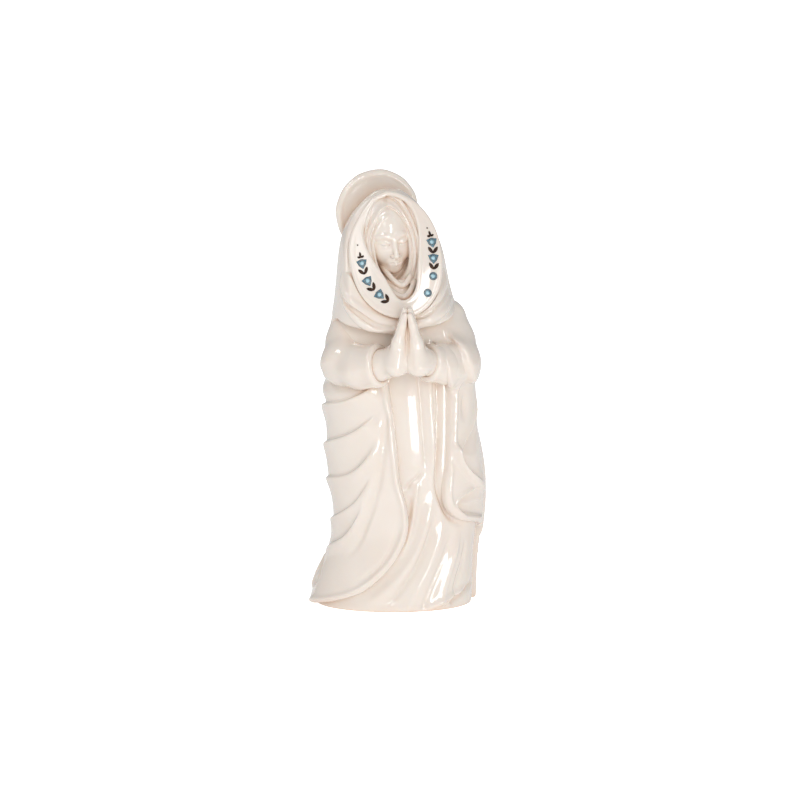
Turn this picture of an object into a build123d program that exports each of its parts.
"""Glazed porcelain madonna: a hollow slip-cast figure, luted together from separate castings.

Millimetres, +Z up, the figure looks along -Y. The origin is on the resting plane, under the middle
of the body. "Right" and "left" are the figure's own, so her right side is at -X.
"""

import os
from math import atan2, cos, degrees, dist, pi, sin

from build123d import *

# ---- Driving dimensions -------------------------------------------------------------------------
HEIGHT = 210.6  # resting plane to the top of the halo
CAST_WALL = 3.4  # wall of a hollow slip casting
MANTLE_THICK = 3.0  # mantle over gown
RIM_WIDTH = 6.0  # unglazed foot ring of the gown
DISC_RECESS = 1.0  # foot disc above the resting plane
DISC_THICK = 3.6
VENT_RADIUS = 5.0  # firing vent in the foot disc
SECTION_POINTS = 24  # points on each closed spline section

# Closed sections: height, centre x, centre y, half width, depth to the front, depth to the back.
BODY = [
    (0.0, -1.5, 0.0, 41.0, 30.5, 29.5),
    (9.0, 0.0, 0.0, 40.0, 29.5, 28.5),
    (22.0, 2.6, 0.0, 37.6, 28.0, 27.0),
    (40.0, 5.6, 0.0, 36.2, 26.5, 26.0),
    (65.0, 4.4, 0.0, 37.6, 25.5, 25.5),
    (90.0, 2.8, 0.0, 36.4, 24.5, 25.5),
    (112.0, 2.2, 0.0, 36.0, 23.0, 25.5),
    (130.0, 1.6, 0.5, 33.6, 20.5, 23.5),
    (142.0, 0.5, 1.5, 28.5, 17.5, 19.5),
    (150.0, -1.0, 2.0, 21.0, 14.0, 15.5),
]
VEIL = [
    (136.0, 0.0, 0.0, 31.4, 23.5, 24.5),
    (143.0, -0.6, 0.0, 29.8, 31.0, 23.8),
    (150.0, -1.4, 0.0, 28.2, 33.0, 22.8),
    (157.0, -2.0, 0.0, 27.0, 32.4, 21.8),
    (165.0, -2.4, 0.0, 25.9, 30.4, 20.8),
    (173.0, -2.8, 0.0, 24.6, 28.4, 19.5),
    (182.0, -3.4, 0.0, 22.0, 25.0, 17.5),
    (190.0, -3.6, 0.0, 18.0, 20.5, 15.0),
    (197.0, -3.4, 0.5, 12.4, 14.2, 11.5),
    (202.0, -3.2, 1.0, 5.0, 6.0, 6.0),
]

# The turned-back border of the veil lies on one leaning plane, low edge forward.
BORDER_TOP = (-8.0, 203.0)  # y, z
BORDER_LOW = (-24.0, 146.0)
BORDER_THICK = 3.2
BORDER_OUTER = [
    (-4, 28.4),
    (8, 23.8),
    (17, 13),
    (21.4, -4),
    (19.6, -19),
    (11, -29.5),
    (-1, -31.6),
    (-13.6, -24.4),
    (-20.6, -10),
    (-21.4, 6),
    (-14.2, 20.6),
]
BORDER_INNER = [
    (-4, 26.6),
    (6.4, 21.4),
    (11, 9),
    (10.6, -8),
    (6.2, -23.5),
    (3.6, -24.5),
    (-4, -15.8),
    (-11.5, -4),
    (-16, 9),
    (-12.8, 18.6),
]

# Where the mantle hangs open, seen from the front: x, z.
MANTLE_EDGE_RIGHT = [(-37, 2.0), (-15, 9.0), (-2, 21.0), (5.4, 36.0), (5, 50), (1, 66), (-1, 88), (-4, 112)]
MANTLE_EDGE_LEFT = [(24.4, 112), (24.4, 92), (25.6, 70), (28, 50), (33, 40), (46, 33.5)]
MANTLE_NECK_Z = 136.0
MANTLE_CUT_Y = 4.0  # the opening reaches back to this plane

# Sleeves: section centres from shoulder to cuff, and their radii.
RIGHT_SLEEVE = [
    ((-21, 3, 138), 10),
    ((-25.4, -2, 128), 11),
    ((-24.6, -11, 120.5), 12.4),
    ((-16, -20, 119), 10.8),
    ((-5.4, -26.4, 120), 9.4),
]
LEFT_SLEEVE = [
    ((25, 3, 138), 9.5),
    ((29, -2, 128), 10.8),
    ((30, -11, 120), 11.2),
    ((23.6, -19, 119.4), 10.0),
    ((14.6, -25.8, 120), 8.8),
]

PALM_PLANE_X = 5.4  # the palms meet on this plane
FINGERTIP = (-33.6, 151.0)  # y, z of the middle fingertip
HAND_HEEL = (-31.0, 117.0)
FINGER_RADIUS = 1.9
FINGER_PITCH = 3.0

HEAD_CENTRE = (-2.6, -3.0, 181.2)
HEAD_HALF = (11.6, 12.0, 14.6)  # half width, half depth, half height
HEAD_TURN = 16.0  # degrees towards her left
HEAD_BOW = 10.0  # degrees forward
NECK_RADIUS = 6.0
# Collar sections: height over the gown's top, shift forward, half width, half depth.
COLLAR = [(-4.0, 4.0, 14.0, 14.5), (4.0, 3.5, 12.0, 12.5), (11.0, 2.0, 8.4, 8.8)]

HALO_RADIUS = 21.0
HALO_CENTRE = (-9.6, 12.5, HEIGHT - HALO_RADIUS)
HALO_THICK = 3.0
HALO_RIM_RADIUS = 2.0

# Trails of enamel and gilding on the border, in the border's own plane: the tip, then each jewel, then the end.
LEFT_TRAIL = [(14.9, 11.2), (17.2, 4.4), (17.9, -3.4), (17.8, -12.2), (15.1, -20.4), (11, -26)]
RIGHT_TRAIL = [(-18.4, 2.9), (-16.3, -6), (-13.6, -14.6), (-7.9, -21.3), (-2.4, -25.2)]
LEFT_JEWELS = (1, 2, 3, 4)
RIGHT_JEWELS = (1, 2, 3)
PETALLED_LEFT = (1, 2)  # the lower two of the left trail are plain
JEWEL_RADIUS = 1.4
JEWEL_RISE = 0.9
RIM_RADIUS = 2.0
RIM_RISE = 0.5
PETAL_BASE = 1.6  # from the jewel's middle, inside its rim
PETAL_REACH = 3.0
PETAL_RISE = 0.35
PETAL_TURNS = (0, 118, -118)  # degrees from down the trail
LEAF_BEYOND = 5.7  # from a jewel to the joint of its leaves
LEAF_LENGTH = 4.2
LEAF_WIDTH = 1.75
GILT_THICK = 0.3
LEAF_SPREAD = 34.0  # degrees between a leaf and the trail
SPRIG_BEFORE = 2.7  # from the first jewel up to the foot of the bud

MEET = 0.02  # clearance left between luted castings


# ---- Helpers ------------------------------------------------------------------------------------
def section_loft(rows, inset=0.0):
    """A solid through closed egg-shaped sections, each drawn in from its row by inset."""
    with BuildPart() as body:
        for height, x, y, half_width, front, back in rows:
            points = []
            for i in range(SECTION_POINTS):
                turn = 2 * pi * i / SECTION_POINTS
                depth = back if sin(turn) > 0 else front
                points.append((x + (half_width - inset) * cos(turn), y + (depth - inset) * sin(turn)))
            with BuildSketch(Plane.XY.offset(height)):
                with BuildLine():
                    Spline(*points, periodic=True)
                make_face()
        loft()
    return body.part


def tube_loft(stations):
    """A solid through circles at the stations, each square to the line between its neighbours."""
    centres = [Vector(*centre) for centre, _ in stations]
    with BuildPart() as tube:
        for i, (centre, radius) in enumerate(stations):
            ahead = centres[min(i + 1, len(centres) - 1)]
            behind = centres[max(i - 1, 0)]
            with BuildSketch(Plane(origin=centre, z_dir=ahead - behind)):
                Circle(radius)
        loft()
    return tube.part


def leaning_plane():
    """The veil border's plane, its x to her left and its y up the slope."""
    (y_top, z_top), (y_low, z_low) = BORDER_TOP, BORDER_LOW
    slope = Vector(0, y_top - y_low, z_top - z_low)
    origin = (0, (y_top + y_low) / 2, (z_top + z_low) / 2)
    return Plane(origin=origin, x_dir=(1, 0, 0), z_dir=Vector(1, 0, 0).cross(slope))


border_plane = leaning_plane()


# ---- Body ---------------------------------------------------------------------------------------
body_skin = section_loft(BODY)
gown_skin = section_loft(BODY, MANTLE_THICK)


def mantle_opening():
    """The block of air between the mantle's front edges."""
    with BuildPart() as block:
        with BuildSketch(Plane.XZ.offset(60)):
            with BuildLine():
                low_right, top_right = MANTLE_EDGE_RIGHT[0], MANTLE_EDGE_RIGHT[-1]
                top_left, low_left = MANTLE_EDGE_LEFT[0], MANTLE_EDGE_LEFT[-1]
                Spline(*MANTLE_EDGE_RIGHT)
                Polyline(top_right, (top_right[0], MANTLE_NECK_Z), (top_left[0], MANTLE_NECK_Z), top_left)
                Spline(*MANTLE_EDGE_LEFT)
                Polyline(low_left, (low_left[0], -2), (low_right[0], -2), low_right)
            make_face()
        extrude(amount=-(60 + MANTLE_CUT_Y))
    return block.part


opening = mantle_opening()

with BuildPart() as mantle:
    add(body_skin)
    add(gown_skin, mode=Mode.SUBTRACT)
    add(opening, mode=Mode.SUBTRACT)

foot_row = BODY[0]
with BuildPart() as gown_shell:
    add(gown_skin)
    add(section_loft(BODY[1:-1], MANTLE_THICK + CAST_WALL), mode=Mode.SUBTRACT)
    with BuildSketch(Plane.XY):
        with Locations((foot_row[1], foot_row[2])):
            Ellipse(foot_row[3] - MANTLE_THICK - RIM_WIDTH, foot_row[4] - MANTLE_THICK - RIM_WIDTH)
    extrude(amount=BODY[1][0] + MEET, mode=Mode.SUBTRACT)

with BuildPart() as foot_disc:
    with BuildSketch(Plane.XY.offset(DISC_RECESS)):
        with Locations((foot_row[1], foot_row[2])):
            drawn_in = MANTLE_THICK + RIM_WIDTH + MEET
            Ellipse(foot_row[3] - drawn_in, foot_row[4] - drawn_in)
            Circle(VENT_RADIUS, mode=Mode.SUBTRACT)
    extrude(amount=DISC_THICK)


# ---- Arms and hands -----------------------------------------------------------------------------
def sleeve(stations):
    """One sleeve, cut where it lies on the gown and the mantle, without the slivers left inside them."""
    with BuildPart() as arm:
        add(tube_loft(stations))
        fillet(arm.faces().sort_by(Axis.Y)[0].edges(), radius=2.0)
        add(gown_skin, mode=Mode.SUBTRACT)
        add(mantle.part, mode=Mode.SUBTRACT)
        add(arm.solids().sort_by(SortBy.VOLUME)[-1], mode=Mode.REPLACE)
    return arm


right_sleeve = sleeve(RIGHT_SLEEVE)
left_sleeve = sleeve(LEFT_SLEEVE)


def hand(side, cuff, arm):
    """One praying hand with four fingers, a thumb, and a wrist that enters the cuff. side is -1 for her right."""
    heel_y, heel_z = HAND_HEEL
    tip_y, tip_z = FINGERTIP
    knuckle_z = heel_z + 0.46 * (tip_z - heel_z)
    palm_x = PALM_PLANE_X + side * 3.4
    with BuildPart() as solid:
        for i in range(4):
            across = (i - 1.5) * FINGER_PITCH
            reach = tip_z - FINGER_RADIUS - (0.0, 0.6, 1.6, 3.4)[i]
            rise = reach - knuckle_z
            with Locations((PALM_PLANE_X + side * FINGER_RADIUS * 0.8, tip_y + across * 0.9, knuckle_z + rise / 2)):
                Cone(FINGER_RADIUS, FINGER_RADIUS * 0.75, rise)
            with Locations((PALM_PLANE_X + side * FINGER_RADIUS * 0.8, tip_y + across * 0.9, reach)):
                Sphere(FINGER_RADIUS * 0.75)
        with BuildSketch(Plane.XY.offset(knuckle_z + 1)):
            with Locations((PALM_PLANE_X + side * 1.4, tip_y)):
                Ellipse(2.6, 2.3 * FINGER_PITCH)
        with BuildSketch(Plane.XY.offset((knuckle_z + heel_z) / 2)):
            with Locations((palm_x, (tip_y + heel_y) / 2)):
                Ellipse(4.4, 2.2 * FINGER_PITCH)
        with BuildSketch(Plane.XY.offset(heel_z)):
            with Locations((palm_x, heel_y)):
                Ellipse(4.6, 5.4)
        loft()
        cuff_centre, cuff_radius = cuff
        wrist = [((palm_x, heel_y, heel_z + 4), 4.6), (cuff_centre, cuff_radius * 0.6)]
        add(tube_loft(wrist))
        split(bisect_by=Plane.YZ.offset(PALM_PLANE_X + side * MEET), keep=Keep.TOP if side > 0 else Keep.BOTTOM)
        add(arm.part, mode=Mode.SUBTRACT)
        add(body_skin, mode=Mode.SUBTRACT)
    return solid


right_hand = hand(-1, RIGHT_SLEEVE[-1], right_sleeve)
left_hand = hand(1, LEFT_SLEEVE[-1], left_sleeve)


# ---- Head and collar ----------------------------------------------------------------------------
head_plane = Plane(origin=HEAD_CENTRE).rotated((HEAD_BOW, 0, HEAD_TURN))
half_width, half_depth, half_height = HEAD_HALF


gown_top = Vector(BODY[-1][1], BODY[-1][2] - 2, BODY[-1][0] + MEET)


def neck_blank():
    """The neck, standing on the gown's top."""
    throat = Vector(*HEAD_CENTRE) - Vector(0, 0, half_height * 0.6)
    stations = ((gown_top, NECK_RADIUS + 1.5), (gown_top + Vector(0, 0, 9), NECK_RADIUS), (throat, NECK_RADIUS))
    with BuildPart() as neck:
        for centre, radius in stations:
            with BuildSketch(Plane(origin=centre)):
                Circle(radius)
        loft()
    return neck.part


with BuildPart() as head:
    with BuildSketch(Plane.XZ):
        with BuildLine():
            Spline(
                (0, -half_height),
                (half_width * 0.52, -half_height * 0.82),
                (half_width * 0.94, -half_height * 0.15),
                (half_width * 0.92, half_height * 0.45),
                (half_width * 0.5, half_height * 0.9),
                (0, half_height),
                tangents=((1, 0), (-1, 0)),
            )
            Line((0, half_height), (0, -half_height))
        make_face()
    revolve(axis=Axis.Z)
    scale(by=(1, half_depth / half_width, 1))
    head.part.label = "egg"

egg = head_plane.location * head.part
with BuildPart() as head:
    add(egg)
    add(neck_blank())
    with BuildSketch(head_plane.offset(-0.22 * half_height)):
        with Locations((0, -half_depth * 0.94)):
            Ellipse(1.7, 2.6)
    with BuildSketch(head_plane.offset(0.16 * half_height)):
        with Locations((0, -half_depth * 0.9)):
            Ellipse(0.8, 1.0)
    loft()

with BuildPart() as collar:
    for rise, forward, spread, depth in COLLAR:
        with BuildSketch(Plane(origin=gown_top + Vector(0, -forward, rise))):
            Ellipse(spread, depth)
    loft()
    add(body_skin, mode=Mode.SUBTRACT)
    add(neck_blank(), mode=Mode.SUBTRACT)


# ---- Veil, border and halo ----------------------------------------------------------------------
def border_ring(outline, thickness, gap=0.0):
    """A plate with the given outline, standing on the border plane."""
    with BuildPart() as plate:
        with BuildSketch(border_plane.offset(gap)):
            with BuildLine():
                Spline(*outline, periodic=True)
            make_face()
        extrude(amount=thickness)
    return plate.part


veil_skin = section_loft(VEIL)

with BuildPart() as veil_hollow:
    add(section_loft(VEIL[1:-1], CAST_WALL))
    split(bisect_by=border_plane.offset(-CAST_WALL), keep=Keep.BOTTOM)

with BuildPart() as veil:
    add(veil_skin)
    split(bisect_by=border_plane, keep=Keep.BOTTOM)
    add(veil_hollow.part, mode=Mode.SUBTRACT)
    add(border_ring(BORDER_INNER, 2 * CAST_WALL, -2 * CAST_WALL + MEET), mode=Mode.SUBTRACT)
    add(body_skin, mode=Mode.SUBTRACT)
    add(right_sleeve.part, mode=Mode.SUBTRACT)
    add(left_sleeve.part, mode=Mode.SUBTRACT)

with BuildPart() as veil_border:
    add(border_ring(BORDER_OUTER, BORDER_THICK, MEET))
    add(border_ring(BORDER_INNER, 3 * BORDER_THICK, -BORDER_THICK), mode=Mode.SUBTRACT)
    front = veil_border.faces().sort_by(Axis(border_plane.origin, border_plane.z_dir))[-1]
    chamfer(front.edges().sort_by(SortBy.LENGTH)[-1], length=0.9)
    front = veil_border.faces().sort_by(Axis(border_plane.origin, border_plane.z_dir))[-1]
    chamfer(front.edges().sort_by(SortBy.LENGTH)[0], length=0.5)

with BuildPart() as halo:
    with BuildSketch(Plane.XZ):
        with BuildLine():
            Polyline((0, 0), (HALO_RADIUS - HALO_RIM_RADIUS, 0), (HALO_RADIUS - HALO_RIM_RADIUS, HALO_THICK))
            halo_flat = HALO_RADIUS - HALO_RIM_RADIUS
            Spline((halo_flat, HALO_THICK), (HALO_RADIUS * 0.5, HALO_THICK * 0.72), (0, HALO_THICK * 0.6))
            Line((0, HALO_THICK * 0.6), (0, 0))
        make_face()
        with Locations((HALO_RADIUS - HALO_RIM_RADIUS, HALO_THICK / 2)):
            Circle(HALO_RIM_RADIUS)
    revolve(axis=Axis.Z)

halo_plane = Plane(origin=HALO_CENTRE, z_dir=(sin(HEAD_TURN * pi / 180), -cos(HEAD_TURN * pi / 180), 0))
halo_disc = halo_plane.location * halo.part
with BuildPart() as halo:
    add(halo_disc)
    add(veil_skin, mode=Mode.SUBTRACT)


# ---- Enamel and gilding -------------------------------------------------------------------------
def trail_places(points, chosen, beyond=0.0):
    """Places so far beyond the chosen points of a trail: (x, y, heading in degrees) on the border plane."""
    with BuildLine() as trail:
        Spline(*points)
    wire = trail.wires()[0]
    run = 0.0
    places = []
    for i, point in enumerate(points):
        if i > 0:
            run += dist(point, points[i - 1])
        if i in chosen:
            along = (run + beyond) / wire.length
            here, heading = wire @ along, wire % along
            places.append((here.X, here.Y, degrees(atan2(heading.Y, heading.X))))
    return places


def on_border(places, rise=0.0):
    """Locations on the border's face, turned so that local x runs down the trail."""
    face = border_plane.offset(BORDER_THICK + MEET + rise)
    return [face.location * Location((x, y, 0), (0, 0, turn)) for x, y, turn in places]


petalled_places = trail_places(LEFT_TRAIL, PETALLED_LEFT) + trail_places(RIGHT_TRAIL, RIGHT_JEWELS)
jewel_places = trail_places(LEFT_TRAIL, LEFT_JEWELS) + trail_places(RIGHT_TRAIL, RIGHT_JEWELS)
leaf_places = trail_places(LEFT_TRAIL, PETALLED_LEFT, LEAF_BEYOND)
leaf_places += trail_places(RIGHT_TRAIL, RIGHT_JEWELS, LEAF_BEYOND)
tip_places = trail_places(LEFT_TRAIL, (0,)) + trail_places(RIGHT_TRAIL, (0,))
sprig_places = trail_places(LEFT_TRAIL, (1,), -SPRIG_BEFORE) + trail_places(RIGHT_TRAIL, (1,), -SPRIG_BEFORE)

with BuildPart() as jewel:
    with BuildSketch(Plane.XZ):
        with BuildLine():
            ThreePointArc((0, JEWEL_RISE), (JEWEL_RADIUS * 0.68, JEWEL_RISE * 0.72), (JEWEL_RADIUS, 0))
            Polyline((JEWEL_RADIUS, 0), (0, 0), (0, JEWEL_RISE))
        make_face()
    revolve(axis=Axis.Z)

with BuildPart() as rim:
    Cylinder(RIM_RADIUS, RIM_RISE, align=(Align.CENTER, Align.CENTER, Align.MIN))
    add(jewel.part, mode=Mode.SUBTRACT)
    Cylinder(JEWEL_RADIUS + MEET, RIM_RISE, align=(Align.CENTER, Align.CENTER, Align.MIN), mode=Mode.SUBTRACT)
    fillet(rim.edges().filter_by(GeomType.CIRCLE).sort_by(SortBy.RADIUS)[-1], radius=0.2)

with BuildPart() as petals:
    for turn in PETAL_TURNS:
        with BuildSketch(Plane(Location((0, 0, 0), (0, 0, turn)))):
            with BuildLine():
                Polyline((PETAL_BASE, -1.2), (PETAL_REACH, 0), (PETAL_BASE, 1.2), (PETAL_BASE, -1.2))
            make_face()
    extrude(amount=PETAL_RISE)


def leaf_sketch(length, width):
    """An almond from its stalk at the origin, along +X."""
    with BuildSketch() as almond:
        with BuildLine():
            ThreePointArc((0, 0), (length * 0.5, width / 2), (length, 0))
            ThreePointArc((length, 0), (length * 0.5, -width / 2), (0, 0))
        make_face()
    return almond.sketch


def gilt_leaves_solid():
    """A pair of leaves below each petalled jewel, opening up the trail, and a bud and a pair at each tip."""
    with BuildPart() as gilding:
        for turn in (180 - LEAF_SPREAD, 180 + LEAF_SPREAD):
            for location in on_border(leaf_places):
                with BuildSketch(Plane(location * Location((0, 0, 0), (0, 0, turn)))):
                    add(leaf_sketch(LEAF_LENGTH, LEAF_WIDTH))
        for turn, length in ((180, 3.1), (180 - 66, 1.9), (180 + 66, 1.9)):
            for location in on_border(sprig_places):
                with BuildSketch(Plane(location * Location((0, 0, 0), (0, 0, turn)))):
                    add(leaf_sketch(length, 1.2))
        extrude(amount=GILT_THICK)
    return gilding


gilt_leaves = gilt_leaves_solid()

with BuildPart() as enamel_jewels:
    with Locations(*on_border(jewel_places)):
        add(jewel.part)

with BuildPart() as jewel_rims:
    with Locations(*on_border(jewel_places)):
        add(rim.part)
    with Locations(*on_border(petalled_places)):
        add(petals.part)

with BuildPart() as gilt_tips:
    with Locations(*on_border(tip_places)):
        Cylinder(0.45, GILT_THICK, align=(Align.CENTER, Align.CENTER, Align.MIN))


# ---- Files --------------------------------------------------------------------------------------
pieces = {
    "gown_shell": gown_shell,
    "foot_disc": foot_disc,
    "mantle": mantle,
    "right_sleeve": right_sleeve,
    "left_sleeve": left_sleeve,
    "right_hand": right_hand,
    "left_hand": left_hand,
    "head": head,
    "collar": collar,
    "veil": veil,
    "veil_border": veil_border,
    "halo": halo,
    "enamel_jewels": enamel_jewels,
    "jewel_rims": jewel_rims,
    "gilt_leaves": gilt_leaves,
    "gilt_tips": gilt_tips,
}
os.makedirs("parts", exist_ok=True)
for name, piece in pieces.items():
    piece.part.label = name
    export_step(piece.part, f"parts/{name}.step")
